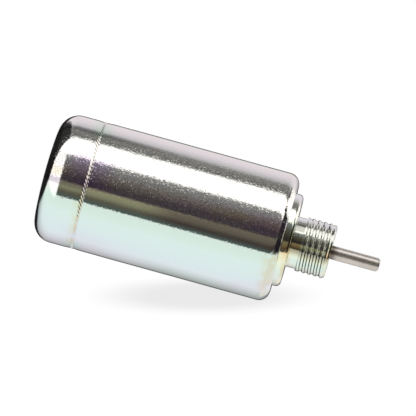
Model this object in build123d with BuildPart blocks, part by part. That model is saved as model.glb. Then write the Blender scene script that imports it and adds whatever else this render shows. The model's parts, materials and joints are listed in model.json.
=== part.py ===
from build123d import *
import os
from math import radians, tan

# Fuel shutoff solenoid: a plated steel can with a threaded nose and a sprung push rod.
# Millimetres, +Z along the axis from the closed rear face, z = 0, to the tip of the rod.
# The solenoid stands on its rear face. The return spring holds the rod out, and current in
# the coil pulls the armature and the rod back against the rear pole.

# Outside
can_diameter = 33.2
cap_length = 11.0
housing_length = 51.3
cap_corner = 5.0
crown_drop = 0.6
housing_corner = 2.8
seam_chamfer = 0.25
front_ring_width = 4.6
collar_proud = 2.0
collar_edge = 1.2
neck_diameter = 13.0
neck_length = 2.5
thread_diameter = 14.0
thread_pitch = 1.5
thread_depth_per_pitch = 0.6134
thread_length = 7.7
rod_diameter = 3.5
rod_reach = 12.7
rod_tip_radius = 0.9
stroke = 8.0

# Clearances
press_gap = 0.02
running_gap = 0.03
slip_gap = 0.05
armature_gap = 0.08
stop_gap = 0.05
bobbin_gap = 0.3

# Steel shell
housing_wall = 1.8
housing_end_wall = 2.2
housing_inner_corner = 0.6
end_land = 0.5
cap_end_wall = 2.0
cap_inner_corner = 2.0
spigot_length = 2.5
spigot_wall = 1.35
standing_width = 1.55

# Nose piece, which is also the front pole
flange_thickness = 4.0
front_core_length = 5.0
rod_passage_gap = 0.35
bush_diameter = 7.0
bush_length = 5.6
bush_recess = 0.3
bush_chamfer = 0.4
rod_seal_length = 1.8
rod_seal_lip = 0.6
nose_seal_depth = 0.8
nose_seal_width = 1.2

# Magnet
tube_bore = 12.7
tube_wall = 0.45
bobbin_wall = 1.0
bobbin_flange = 1.4
winding_margin = 0.8
wrap_thickness = 0.25
rear_plate_thickness = 3.0
rear_spigot_diameter = 9.0
rear_stake = 0.6
gasket_thickness = 0.8
cone_washer_height = 0.8
cone_washer_thickness = 0.4
shim_thickness = 0.2

# Plunger
gap_offset = 5.9
armature_edge = 0.4
armature_pocket_depth = 7.0
vent_count = 3
vent_width = 1.6
vent_depth = 0.8
rod_head_thickness = 1.2
clip_width = 1.8
clip_thickness = 0.6
clip_groove_depth = 0.35
clip_mouth_angle = 70
clip_pocket_gap = 0.6
clip_pocket_depth = 1.0
cushion_thickness = 0.8
cushion_margin = 0.4

# Return spring
spring_wire = 0.6
spring_diameter = 6.2
spring_turns = 6
spring_wire_sides = 6
spring_pocket_gap = 0.2
pole_pocket_depth = 5.5

# Electrical connection
socket_diameter = 16.0
socket_wall = 1.25
socket_setback = 0.3
socket_floor = 2.0
block_flange = 3.0
spacer_wall = 1.2
lead_chamber = 3.5
key_width = 2.0
key_height = 1.0
blade_width = 6.3
blade_thickness = 0.8
blade_spacing = 6.4
blade_setback = 1.0
blade_tag = 1.5
blade_tip_chamfer = 0.9
lead_diameter = 1.0
lead_hole_gap = 0.3
lead_bend = 1.6
lead_entry = 1.2

# Radii
can_r = can_diameter / 2
bore_r = can_r - housing_wall
spigot_r = bore_r - slip_gap
cap_bore_r = spigot_r - spigot_wall
collar_r = can_r - front_ring_width
collar_hole_r = collar_r + slip_gap
neck_r = neck_diameter / 2
thread_r = thread_diameter / 2
thread_depth = thread_depth_per_pitch * thread_pitch
rod_r = rod_diameter / 2
rod_passage_r = rod_r + rod_passage_gap
bush_r = bush_diameter / 2
nose_groove_r = collar_r - nose_seal_depth
tube_bore_r = tube_bore / 2
tube_r = tube_bore_r + tube_wall
pole_r = tube_bore_r - press_gap
bobbin_bore_r = tube_r + slip_gap
bobbin_barrel_r = bobbin_bore_r + bobbin_wall
bobbin_flange_r = bore_r - bobbin_gap
coil_r = bobbin_flange_r - winding_margin
rear_spigot_r = rear_spigot_diameter / 2
spring_pocket_r = spring_diameter / 2 + spring_pocket_gap
rod_head_r = spring_pocket_r - spring_pocket_gap
clip_bore_r = rod_r - clip_groove_depth
clip_r = clip_bore_r + clip_width
clip_pocket_r = clip_r + clip_pocket_gap
socket_r = socket_diameter / 2
socket_hole_r = socket_r + slip_gap
block_flange_r = cap_bore_r - slip_gap
lead_r = lead_diameter / 2
lead_hole_r = lead_r + lead_hole_gap
lead_circle_r = block_flange_r - spacer_wall - lead_hole_r
cone_washer_r = lead_circle_r - lead_hole_r
standing_r = socket_hole_r + standing_width

# Corners, no larger than the wall they are on
cap_corner_r = min(cap_corner, can_r - standing_r - end_land)
housing_corner_r = min(housing_corner, can_r - collar_hole_r - end_land)
flange_chamfer = min(housing_inner_corner, (bore_r - collar_hole_r) / 2)

# Levels along the axis
seam_z = cap_length
spigot_end_z = seam_z + spigot_length
rear_plate_z = spigot_end_z + gasket_thickness
rear_plate_top_z = rear_plate_z + rear_plate_thickness
bobbin_rear_z = rear_plate_top_z + cone_washer_height
coil_rear_z = bobbin_rear_z + bobbin_flange
housing_front_z = seam_z + housing_length
front_wall_z = housing_front_z - housing_end_wall
nose_seal_z = front_wall_z + housing_end_wall / 2
pole_shoulder_z = front_wall_z - flange_thickness
pole_tip_z = pole_shoulder_z - front_core_length
coil_length = pole_shoulder_z - bobbin_flange - coil_rear_z
collar_front_z = housing_front_z + collar_proud
thread_start_z = collar_front_z + neck_length
nose_end_z = thread_start_z + thread_length
rod_tip_z = nose_end_z + rod_reach
bush_rear_z = nose_end_z - bush_recess - bush_length
rod_seal_z = bush_rear_z - rod_seal_length
cushion_z = pole_tip_z - cushion_thickness
armature_front_z = cushion_z - stop_gap
gap_middle_z = coil_rear_z + coil_length / 2 - gap_offset
armature_rear_z = gap_middle_z + (stroke + stop_gap) / 2
armature_length = armature_front_z - armature_rear_z
shim_z = gap_middle_z - (stroke + stop_gap) / 2 - shim_thickness
spring_seat_z = shim_z - pole_pocket_depth
rod_head_front_z = armature_rear_z + armature_pocket_depth
rod_head_rear_z = rod_head_front_z - rod_head_thickness
clip_z = armature_front_z - clip_pocket_depth
block_top_z = rear_plate_z - lead_chamber
socket_floor_z = block_top_z - socket_floor
block_flange_top_z = cap_end_wall + block_flange

os.makedirs("parts", exist_ok=True)


def corner(profile, radius, height):
    """The corner of a profile that lies nearest to a point."""
    return profile.vertices().sort_by_distance((radius, height))[0]


# Rear cap: a cup whose end has the socket's hole, a flat ring to stand on and a slight crown,
# and whose spigot enters the housing
with BuildPart() as rear_cap:
    with BuildSketch(Plane.XZ) as cap_profile:
        with BuildLine():
            Polyline(
                (socket_hole_r, 0),
                (standing_r, 0),
                (can_r, crown_drop),
                (can_r, seam_z),
                (spigot_r, seam_z),
                (spigot_r, spigot_end_z),
                (cap_bore_r, spigot_end_z),
                (cap_bore_r, cap_end_wall),
                (socket_hole_r, cap_end_wall),
                close=True,
            )
        make_face()
        fillet(corner(cap_profile, can_r, crown_drop), radius=cap_corner_r)
        chamfer(corner(cap_profile, cap_bore_r, cap_end_wall), length=cap_inner_corner)
        chamfer(corner(cap_profile, can_r, seam_z), length=seam_chamfer)
    revolve(axis=Axis.Z)
rear_cap.part.label = "rear_cap"
export_step(rear_cap.part, "parts/rear_cap.step")

# Housing: a drawn cup, open at the seam, whose front wall lets the nose piece's collar through
with BuildPart() as housing:
    with BuildSketch(Plane.XZ) as housing_profile:
        with BuildLine():
            Polyline(
                (bore_r, seam_z),
                (can_r, seam_z),
                (can_r, housing_front_z),
                (collar_hole_r, housing_front_z),
                (collar_hole_r, front_wall_z),
                (bore_r, front_wall_z),
                close=True,
            )
        make_face()
        fillet(corner(housing_profile, can_r, housing_front_z), radius=housing_corner_r)
        chamfer(corner(housing_profile, bore_r, front_wall_z), length=flange_chamfer)
        chamfer(corner(housing_profile, can_r, seam_z), length=seam_chamfer)
    revolve(axis=Axis.Z)
housing.part.label = "housing"
export_step(housing.part, "parts/housing.step")

# Nose piece: front core, flange, collar, neck and threaded nose, turned from one bar
with BuildPart() as nose_piece:
    with BuildSketch(Plane.XZ) as nose_profile:
        with BuildLine():
            Polyline(
                (rod_passage_r, pole_tip_z),
                (pole_r, pole_tip_z),
                (pole_r, pole_shoulder_z),
                (spigot_r, pole_shoulder_z),
                (spigot_r, front_wall_z),
                (collar_r, front_wall_z),
                (collar_r, collar_front_z),
                (neck_r, collar_front_z),
                (neck_r, thread_start_z),
                (thread_r, thread_start_z),
                (thread_r, nose_end_z),
                (bush_r, nose_end_z),
                (bush_r, rod_seal_z),
                (rod_passage_r, rod_seal_z),
                close=True,
            )
        make_face()
        chamfer(corner(nose_profile, spigot_r, front_wall_z), length=flange_chamfer)
        fillet(corner(nose_profile, collar_r, collar_front_z), radius=collar_edge)
        fillet(corner(nose_profile, thread_r, nose_end_z), radius=thread_depth)
        with Locations((collar_r, nose_seal_z)):
            Rectangle(2 * nose_seal_depth, nose_seal_width, mode=Mode.SUBTRACT)
    revolve(axis=Axis.Z)
nose_piece.part.label = "nose_piece"
export_step(nose_piece.part, "parts/nose_piece.step")

# Nose seal: a ring of square section in the collar's groove, against the housing's front wall
with BuildPart() as nose_seal:
    with BuildSketch(Plane.XY.offset(nose_seal_z)):
        Circle(collar_hole_r - press_gap)
        Circle(nose_groove_r + press_gap, mode=Mode.SUBTRACT)
    extrude(amount=nose_seal_width / 2 - press_gap, both=True)
nose_seal.part.label = "nose_seal"
export_step(nose_seal.part, "parts/nose_seal.step")

# Rod bush: guides the rod in the nose
with BuildPart() as rod_bush:
    with BuildSketch(Plane.XY.offset(bush_rear_z)):
        Circle(bush_r - press_gap)
        Circle(rod_r + running_gap, mode=Mode.SUBTRACT)
    extrude(amount=bush_length)
    front_rims = rod_bush.edges().group_by(Axis.Z)[-1]
    chamfer(front_rims.sort_by(SortBy.RADIUS)[0], length=bush_chamfer)
rod_bush.part.label = "rod_bush"
export_step(rod_bush.part, "parts/rod_bush.step")

# Rod seal: a ring behind the bush, with a groove that leaves it a lip on the rod
with BuildPart() as rod_seal:
    with BuildSketch(Plane.XY.offset(rod_seal_z)):
        Circle(bush_r - press_gap)
        Circle(rod_r + running_gap, mode=Mode.SUBTRACT)
    extrude(amount=rod_seal_length - press_gap)
    with BuildSketch(Plane.XY.offset(bush_rear_z - press_gap)):
        Circle(bush_r - rod_seal_lip)
        Circle(rod_r + rod_seal_lip, mode=Mode.SUBTRACT)
    extrude(amount=-rod_seal_length / 2, mode=Mode.SUBTRACT)
rod_seal.part.label = "rod_seal"
export_step(rod_seal.part, "parts/rod_seal.step")

# Guide tube: the thin liner that the armature slides in, over both pole cores
with BuildPart() as guide_tube:
    with BuildSketch(Plane.XY.offset(rear_plate_top_z)):
        Circle(tube_r)
        Circle(tube_bore_r, mode=Mode.SUBTRACT)
    extrude(amount=pole_shoulder_z - rear_plate_top_z)
guide_tube.part.label = "guide_tube"
export_step(guide_tube.part, "parts/guide_tube.step")

# Bobbin: a barrel and two flanges, with a slot in the rear flange for each lead
with BuildPart() as bobbin:
    with BuildSketch(Plane.XZ):
        with BuildLine():
            Polyline(
                (bobbin_bore_r, bobbin_rear_z),
                (bobbin_flange_r, bobbin_rear_z),
                (bobbin_flange_r, coil_rear_z),
                (bobbin_barrel_r, coil_rear_z),
                (bobbin_barrel_r, coil_rear_z + coil_length),
                (bobbin_flange_r, coil_rear_z + coil_length),
                (bobbin_flange_r, pole_shoulder_z),
                (bobbin_bore_r, pole_shoulder_z),
                close=True,
            )
        make_face()
    revolve(axis=Axis.Z)
    slot_length = bobbin_flange_r - lead_circle_r + lead_hole_gap
    with BuildSketch(Plane.XY.offset(bobbin_rear_z)):
        with Locations((-lead_circle_r, 0), (lead_circle_r, 0)):
            Circle(lead_hole_r)
        with Locations((-lead_circle_r - slot_length / 2, 0), (lead_circle_r + slot_length / 2, 0)):
            Rectangle(slot_length, 2 * lead_hole_r)
    extrude(amount=bobbin_flange, mode=Mode.SUBTRACT)
bobbin.part.label = "bobbin"
export_step(bobbin.part, "parts/bobbin.step")

# Coil: the turns of enamelled wire as one solid, notched where the leads come in
with BuildPart() as coil:
    with BuildSketch(Plane.XY.offset(coil_rear_z)):
        Circle(coil_r)
        Circle(bobbin_barrel_r + slip_gap, mode=Mode.SUBTRACT)
    extrude(amount=coil_length)
    with BuildSketch(Plane.XY.offset(coil_rear_z)):
        with Locations((-lead_circle_r, 0), (lead_circle_r, 0)):
            Circle(lead_hole_r)
    extrude(amount=lead_entry, mode=Mode.SUBTRACT)
coil.part.label = "coil"
export_step(coil.part, "parts/coil.step")

# Coil wrap: insulating tape round the coil
with BuildPart() as coil_wrap:
    with BuildSketch(Plane.XY.offset(coil_rear_z)):
        Circle(coil_r + slip_gap + wrap_thickness)
        Circle(coil_r + slip_gap, mode=Mode.SUBTRACT)
    extrude(amount=coil_length)
coil_wrap.part.label = "coil_wrap"
export_step(coil_wrap.part, "parts/coil_wrap.step")

# Rear plate: the yoke washer that closes the magnet's path to the housing
with BuildPart() as rear_plate:
    with BuildSketch(Plane.XY.offset(rear_plate_z)):
        Circle(spigot_r)
        Circle(rear_spigot_r + press_gap, mode=Mode.SUBTRACT)
        with Locations((-lead_circle_r, 0), (lead_circle_r, 0)):
            Circle(lead_hole_r, mode=Mode.SUBTRACT)
    extrude(amount=rear_plate_thickness)
rear_plate.part.label = "rear_plate"
export_step(rear_plate.part, "parts/rear_plate.step")

# Rear pole: the fixed core that the armature is pulled against, staked into the rear plate
with BuildPart() as rear_pole:
    with BuildSketch(Plane.XY.offset(rear_plate_top_z)):
        Circle(pole_r)
    extrude(amount=shim_z - rear_plate_top_z)
    with BuildSketch(Plane.XY.offset(rear_plate_top_z)):
        Circle(rear_spigot_r)
    extrude(amount=-rear_plate_thickness - rear_stake)
    chamfer(rear_pole.edges().group_by(Axis.Z)[0], length=rear_stake / 2)
    with BuildSketch(Plane.XY.offset(spring_seat_z)):
        Circle(spring_pocket_r)
    extrude(amount=pole_pocket_depth, mode=Mode.SUBTRACT)
rear_pole.part.label = "rear_pole"
export_step(rear_pole.part, "parts/rear_pole.step")

# Rear gasket: between the cap's spigot and the rear plate
with BuildPart() as rear_gasket:
    with BuildSketch(Plane.XY.offset(spigot_end_z)):
        Circle(spigot_r)
        Circle(cap_bore_r, mode=Mode.SUBTRACT)
    extrude(amount=gasket_thickness)
rear_gasket.part.label = "rear_gasket"
export_step(rear_gasket.part, "parts/rear_gasket.step")

# Cone washer: keeps the bobbin pressed towards the nose
with BuildPart() as cone_washer:
    with BuildSketch(Plane.XZ):
        with BuildLine():
            Polyline(
                (bobbin_bore_r, bobbin_rear_z - cone_washer_thickness),
                (cone_washer_r, rear_plate_top_z),
                (cone_washer_r, rear_plate_top_z + cone_washer_thickness),
                (bobbin_bore_r, bobbin_rear_z),
                close=True,
            )
        make_face()
    revolve(axis=Axis.Z)
cone_washer.part.label = "cone_washer"
export_step(cone_washer.part, "parts/cone_washer.step")

# Pole shim: keeps the armature from sticking to the rear pole
with BuildPart() as pole_shim:
    with BuildSketch(Plane.XY.offset(shim_z)):
        Circle(pole_r)
        Circle(spring_pocket_r, mode=Mode.SUBTRACT)
    extrude(amount=shim_thickness)
pole_shim.part.label = "pole_shim"
export_step(pole_shim.part, "parts/pole_shim.step")

# Cushion ring: on the front core, where the armature comes to rest
with BuildPart() as cushion_ring:
    with BuildSketch(Plane.XY.offset(cushion_z)):
        Circle(pole_r)
        Circle(clip_pocket_r + cushion_margin, mode=Mode.SUBTRACT)
    extrude(amount=cushion_thickness)
cushion_ring.part.label = "cushion_ring"
export_step(cushion_ring.part, "parts/cushion_ring.step")

# Armature: a bored slug with vent slots, a spring pocket and a pocket for the clip
with BuildPart() as armature:
    with BuildSketch(Plane.XY.offset(armature_rear_z)):
        Circle(tube_bore_r - armature_gap)
    extrude(amount=armature_length)
    chamfer(armature.edges().group_by(Axis.Z)[0], length=armature_edge)
    with BuildSketch(Plane.XY.offset(armature_rear_z)):
        with PolarLocations(tube_bore_r, vent_count):
            Rectangle(2 * (vent_depth + armature_gap), vent_width)
    extrude(amount=armature_length, mode=Mode.SUBTRACT)
    with BuildSketch(Plane.XY.offset(armature_rear_z)):
        Circle(spring_pocket_r)
    extrude(amount=armature_pocket_depth, mode=Mode.SUBTRACT)
    with BuildSketch(Plane.XY.offset(rod_head_front_z)):
        Circle(rod_r + running_gap)
    extrude(amount=armature_front_z - rod_head_front_z, mode=Mode.SUBTRACT)
    with BuildSketch(Plane.XY.offset(clip_z)):
        Circle(clip_pocket_r)
    extrude(amount=clip_pocket_depth, mode=Mode.SUBTRACT)
armature.part.label = "armature"
export_step(armature.part, "parts/armature.step")

# Push rod: headed at the spring end, grooved for the clip and rounded at the tip
with BuildPart() as push_rod:
    with BuildSketch(Plane.XY.offset(rod_head_rear_z)):
        Circle(rod_head_r)
    extrude(amount=rod_head_thickness)
    with BuildSketch(Plane.XY.offset(rod_head_front_z)):
        Circle(rod_r)
    extrude(amount=rod_tip_z - rod_head_front_z)
    fillet(push_rod.edges().group_by(Axis.Z)[-1], radius=rod_tip_radius)
    with BuildSketch(Plane.XY.offset(clip_z)):
        Circle(rod_r)
        Circle(clip_bore_r, mode=Mode.SUBTRACT)
    extrude(amount=clip_thickness + slip_gap, mode=Mode.SUBTRACT)
push_rod.part.label = "push_rod"
export_step(push_rod.part, "parts/push_rod.step")

# Rod clip: an open ring in the rod's groove, which holds the rod in the armature
with BuildPart() as rod_clip:
    mouth_half_width = clip_r * tan(radians(clip_mouth_angle / 2))
    with BuildSketch(Plane.XY.offset(clip_z)):
        Circle(clip_r)
        Circle(clip_bore_r + press_gap, mode=Mode.SUBTRACT)
        with BuildLine():
            Polyline((0, 0), (clip_r, mouth_half_width), (clip_r, -mouth_half_width), close=True)
        make_face(mode=Mode.SUBTRACT)
    extrude(amount=clip_thickness)
rod_clip.part.label = "rod_clip"
export_step(rod_clip.part, "parts/rod_clip.step")

# Return spring: from the floor of the rear pole's pocket to the rod's head
with BuildPart() as return_spring:
    spring_rise = rod_head_rear_z - spring_seat_z - spring_wire
    with BuildLine() as spring_line:
        Helix(
            pitch=spring_rise / spring_turns,
            height=spring_rise,
            radius=(spring_diameter - spring_wire) / 2,
            center=(0, 0, spring_seat_z + spring_wire / 2),
        )
    with BuildSketch(Plane(origin=spring_line.line @ 0, z_dir=spring_line.line % 0)):
        RegularPolygon(spring_wire / 2, side_count=spring_wire_sides)
    sweep(is_frenet=True)
return_spring.part.label = "return_spring"
export_step(return_spring.part, "parts/return_spring.step")

# Terminal block: a moulded socket, open at the rear face, with a flange inside the cap
with BuildPart() as terminal_block:
    with BuildSketch(Plane.XZ) as block_profile:
        with BuildLine():
            Polyline(
                (0, socket_setback),
                (socket_r, socket_setback),
                (socket_r, cap_end_wall),
                (block_flange_r, cap_end_wall),
                (block_flange_r, block_flange_top_z),
                (socket_r, block_flange_top_z),
                (socket_r, block_top_z),
                (0, block_top_z),
                close=True,
            )
        make_face()
        chamfer(corner(block_profile, block_flange_r, cap_end_wall), length=cap_inner_corner)
    revolve(axis=Axis.Z)
    with BuildSketch(Plane.XY.offset(socket_setback)):
        Circle(socket_r - socket_wall)
        with Locations((0, socket_r - socket_wall)):
            Rectangle(key_width, 2 * key_height, mode=Mode.SUBTRACT)
    extrude(amount=socket_floor_z - socket_setback, mode=Mode.SUBTRACT)
    with BuildSketch(Plane.XY.offset(socket_floor_z)):
        with Locations((-blade_spacing / 2, 0), (blade_spacing / 2, 0)):
            Rectangle(blade_thickness + 2 * press_gap, blade_width + 2 * press_gap)
    extrude(amount=socket_floor, mode=Mode.SUBTRACT)
terminal_block.part.label = "terminal_block"
export_step(terminal_block.part, "parts/terminal_block.step")

# Spacer ring: holds the terminal block's flange against the cap's end
with BuildPart() as spacer_ring:
    with BuildSketch(Plane.XY.offset(block_flange_top_z)):
        Circle(block_flange_r)
        Circle(block_flange_r - spacer_wall, mode=Mode.SUBTRACT)
    extrude(amount=rear_plate_z - block_flange_top_z)
spacer_ring.part.label = "spacer_ring"
export_step(spacer_ring.part, "parts/spacer_ring.step")

# Terminal blades and coil leads, one of each on either side of the axis
for side, name in ((-1, "left"), (1, "right")):
    blade_x = side * blade_spacing / 2
    with BuildPart() as terminal_blade:
        with BuildSketch(Plane.XY.offset(blade_setback)):
            with Locations((blade_x, 0)):
                Rectangle(blade_thickness, blade_width)
        extrude(amount=block_top_z + blade_tag - blade_setback)
        tip_corners = terminal_blade.edges().group_by(Axis.Z)[0].filter_by(Axis.X)
        chamfer(tip_corners, length=blade_tip_chamfer)
    terminal_blade.part.label = f"blade_{name}"
    export_step(terminal_blade.part, f"parts/blade_{name}.step")

    lead_z = block_top_z + lead_r + slip_gap
    with BuildPart() as coil_lead:
        with BuildLine() as lead_line:
            FilletPolyline(
                (blade_x + side * blade_thickness / 2, 0, lead_z),
                (side * lead_circle_r, 0, lead_z),
                (side * lead_circle_r, 0, coil_rear_z + lead_entry),
                radius=lead_bend,
            )
        with BuildSketch(Plane(origin=lead_line.line @ 0, z_dir=lead_line.line % 0)):
            Circle(lead_r)
        sweep()
    coil_lead.part.label = f"lead_{name}"
    export_step(coil_lead.part, f"parts/lead_{name}.step")
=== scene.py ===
import json
import math
import bmesh
import bpy
from bpy.props import FloatProperty, FloatVectorProperty, IntProperty, PointerProperty
from mathutils import Matrix, Vector


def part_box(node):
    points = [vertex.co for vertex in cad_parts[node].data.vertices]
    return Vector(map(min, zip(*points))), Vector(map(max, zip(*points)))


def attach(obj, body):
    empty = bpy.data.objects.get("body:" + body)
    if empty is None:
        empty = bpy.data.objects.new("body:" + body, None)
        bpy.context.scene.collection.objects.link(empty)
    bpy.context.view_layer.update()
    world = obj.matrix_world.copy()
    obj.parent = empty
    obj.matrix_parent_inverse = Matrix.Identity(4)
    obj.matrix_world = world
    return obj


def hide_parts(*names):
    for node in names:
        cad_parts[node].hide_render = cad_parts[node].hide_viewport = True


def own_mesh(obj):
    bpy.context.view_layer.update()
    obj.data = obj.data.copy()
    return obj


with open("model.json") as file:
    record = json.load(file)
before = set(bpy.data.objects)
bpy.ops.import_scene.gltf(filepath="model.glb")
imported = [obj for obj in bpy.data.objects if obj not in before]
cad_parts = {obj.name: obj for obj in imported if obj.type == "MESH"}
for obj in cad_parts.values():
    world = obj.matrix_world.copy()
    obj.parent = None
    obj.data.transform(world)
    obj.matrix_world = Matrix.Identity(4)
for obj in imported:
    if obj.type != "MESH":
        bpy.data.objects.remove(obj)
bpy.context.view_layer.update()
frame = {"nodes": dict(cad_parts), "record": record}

bl_info = {
    "name": "Fuel shutoff solenoid",
    "version": (1, 0, 0),
    "blender": (4, 5, 0),
    "location": "View3D > Sidebar > Solenoid",
    "description": "Builds the plated can, nose, push rod, spring and studio of a fuel shutoff solenoid",
    "category": "Object",
}

# Lengths are in metres. Z runs along the solenoid's axis, from the closed rear face to the tip of the rod.
housing_low, housing_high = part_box("housing")
cap_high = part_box("rear_cap")[1]
nose_low, nose_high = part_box("nose_piece")
rod_low, rod_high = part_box("push_rod")
bush_low, bush_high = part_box("rod_bush")

TURN = 2 * math.pi
MICRON = 1e-6
# A stretch of the can where the film shows less violet
CLEAN_STRETCH = (0.034, 0.053)
ON_AXIS = 1e-7
ARC_STEP = math.radians(9)
SHARP_ANGLE = math.radians(32)
WHITE = (1.0, 1.0, 1.0)
BLACK = (0.0, 0.0, 0.0)
# The finely ruled stretch beside the bead, in flank widths
BEAD_RUN = 1.3
# The rise of a closed end turn of the spring, in wires
CLOSED_RISE = 1.02
# The pitch of the coil's wire
WIRE_PITCH = 0.00055
SOCKET_KINDS = {
    float: "NodeSocketFloat",
    int: "NodeSocketInt",
    bpy.types.Material: "NodeSocketMaterial",
}
FLOOR_GAP = 0.00005
FLOOR_SIDES = 96
CAMERA_CLIPS = (0.01, 20.0)


def length(name, description, default):
    """A property that holds a length in metres."""
    return FloatProperty(
        name=name, description=description, default=default, min=0.0, precision=5,
        unit="LENGTH", subtype="DISTANCE",
    )


def colour(name, description, default):
    """A property that holds a linear colour."""
    return FloatVectorProperty(
        name=name, description=description, default=default, size=3, min=0.0, max=1.0, subtype="COLOR",
    )


def amount(name, description, default, **settings):
    """A property that holds a plain number from 0 up."""
    return FloatProperty(name=name, description=description, default=default, min=0.0, **settings)


def count(name, description, default, least):
    """A property that holds a whole number."""
    return IntProperty(name=name, description=description, default=default, min=least)


def angle(name, description, degrees):
    """A property that holds an angle."""
    return FloatProperty(
        name=name, description=description, default=math.radians(degrees), subtype="ANGLE", unit="ROTATION",
    )


class ShellSettings(bpy.types.PropertyGroup):
    """Sizes and plating colours of the rear cap and the housing."""

    can_radius: length("Can radius", "Outside radius of cap and housing", housing_high.x)
    seam_height: length("Seam height", "Where the cap meets the housing", housing_low.z)
    front_height: length("Front height", "Front face of the housing", housing_high.z)
    spigot_top: length("Spigot top", "End of the cap's spigot inside the housing", cap_high.z)
    spigot_radius: length("Spigot radius", "Outside radius of the cap's spigot", nose_high.x)
    spigot_wall: length("Spigot wall", "Wall of the cap's spigot", 0.00135)
    housing_wall: length("Housing wall", "Wall of the drawn can", 0.0018)
    front_wall: length("Front wall", "Thickness of the housing's front", 0.0022)
    cap_floor: length("Cap floor", "Thickness of the cap's end", 0.002)
    socket_hole: length("Socket hole", "Radius of the hole for the socket", 0.00805)
    standing_radius: length("Standing ring", "Outside radius of the flat ring it stands on", 0.0096)
    crown_drop: length("Crown drop", "How far the end falls away towards its rim", 0.0006)
    cap_corner: length("Cap corner", "Radius of the rear corner", 0.005)
    inner_corner: length("Inner corner", "Break of the cap's inner corner", 0.002)
    front_corner: length("Front corner", "Radius of the housing's front corner", 0.0028)
    collar_hole: length("Collar hole", "Radius of the hole for the nose's collar", 0.01205)
    bead_rear: length("Bead's rear flank", "Width of the rolled bead behind its crest", 0.00058)
    bead_front: length("Bead's front flank", "Width of the rolled bead in front of its crest", 0.00038)
    bead_lead: length("Bead lead", "How far in front of the seam the bead's crest lies", 0.0002)
    bead_fade: length("Bead fade", "How far the wall beside the bead takes to reach its full size", 0.0018)
    bead_depth: length("Bead depth", "Height of the bead and depth of its notches", 0.00014)
    bead_skin: length("Bead skin", "How deep under the outside the bead still reaches", 0.0003)
    strands: count("Strands", "Slanted strands round the seam's bead", 98, 3)
    strand_run: amount("Strand run", "Run of a strand along the axis in each radian, in can radii", 0.75)
    rear_steps: count("Rear steps", "Rings across the bead's rear flank", 10, 2)
    front_steps: count("Front steps", "Rings across the bead's front flank", 8, 2)
    edge_break: length("Edge break", "Radius of the small edges", 0.00012)
    facets: count("Facets", "Facets round the can", 686, 24)
    zinc: colour("Zinc", "Plain zinc under the passivation", (0.92, 0.92, 0.90))
    speckle: amount("Speckle", "Depth of the fine orange peel in thousandths of a millimetre", 15.0)


class NoseSettings(bpy.types.PropertyGroup):
    """Sizes of the turned nose piece, its thread, the bush and the push rod."""

    pole_radius: length("Pole radius", "Radius of the front core", 0.00633)
    flange_radius: length("Flange radius", "Radius of the flange in the housing", nose_high.x)
    pole_tip: length("Pole tip", "Rear end of the front core", nose_low.z)
    flange_rear: length("Flange rear", "Rear face of the flange", 0.0561)
    flange_front: length("Flange front", "Front face of the flange", 0.0601)
    collar_radius: length("Collar radius", "Radius of the collar", 0.012)
    collar_front: length("Collar front", "Front face of the collar", 0.0643)
    collar_edge: length("Collar edge", "Radius of the collar's front edge", 0.0012)
    groove_radius: length("Groove radius", "Bottom of the seal's groove", 0.0112)
    groove_rear: length("Groove rear", "Rear wall of the seal's groove", 0.0606)
    groove_front: length("Groove front", "Front wall of the seal's groove", 0.0618)
    neck_radius: length("Neck radius", "Radius of the neck behind the thread", 0.0065)
    thread_radius: length("Thread radius", "Outside radius of the thread", 0.007)
    thread_start: length("Thread start", "Rear end of the thread", 0.0668)
    thread_end: length("Thread end", "Front end of the thread", nose_high.z)
    pitch: length("Pitch", "Pitch of the thread", 0.0015)
    thread_depth: length("Thread depth", "Depth of the thread", 0.0003)
    crest_share: amount("Crest share", "Width of the thread's flat crest, as a share of the pitch", 0.24)
    flank_share: amount("Flank share", "Width of both of its flanks, as a share of the pitch", 0.46)
    pitch_steps: count("Pitch steps", "Rings in each pitch of the thread", 26, 6)
    nose_edge: length("Nose edge", "Rounding of the thread's front end", 0.00092)
    run_in: length("Run in", "Length over which the thread reaches its depth", 0.0009)
    bore_radius: length("Bore radius", "Bore for the bush", 0.0035)
    passage_radius: length("Passage radius", "Passage for the rod", 0.0021)
    bore_floor: length("Bore floor", "Floor of the bore for bush and seal", 0.0668)
    rod_radius: length("Rod radius", "Radius of the push rod", 0.00175)
    rod_head: length("Rod head", "Radius of the rod's head", rod_high.x)
    head_thickness: length("Head thickness", "Thickness of the rod's head", 0.0012)
    clip_height: length("Clip height", "Rear wall of the clip's groove", 0.04925)
    clip_groove: length("Clip groove", "Width of the clip's groove", 0.00065)
    clip_bottom: length("Clip bottom", "Radius at the bottom of the clip's groove", 0.0014)
    tip_radius: length("Tip radius", "Rounding of the rod's tip", 0.0009)
    rod_gap: length("Rod gap", "Gap between the rod and its bush", 0.00003)
    bush_chamfer: length("Bush chamfer", "Chamfer at the front of the bush's bore", 0.0004)
    facets: count("Facets", "Facets round the nose", 180, 24)
    rod_facets: count("Rod facets", "Facets round the rod and the bush", 96, 12)
    speckle: amount("Speckle", "Depth of the fine orange peel in thousandths of a millimetre", 6.0)


class SpringSettings(bpy.types.PropertyGroup):
    """Sizes of the return spring."""

    wire: length("Wire", "Diameter of the spring's wire", 0.0006)
    outer_radius: length("Outer radius", "Outside radius of the spring", 0.0031)
    seat: length("Seat", "Floor that the spring stands on", 0.021475)
    head: length("Head", "Face of the rod's head that it pushes", rod_low.z)
    shortest: length("Shortest", "Length with the plunger drawn in", 0.01155)
    turns: FloatProperty(name="Turns", description="Turns from end to end", default=8.0, min=2.0)
    turn_steps: count("Turn steps", "Sections in each turn of the wire", 48, 8)
    wire_sides: count("Wire sides", "Sides of the wire's section", 14, 3)


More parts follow.
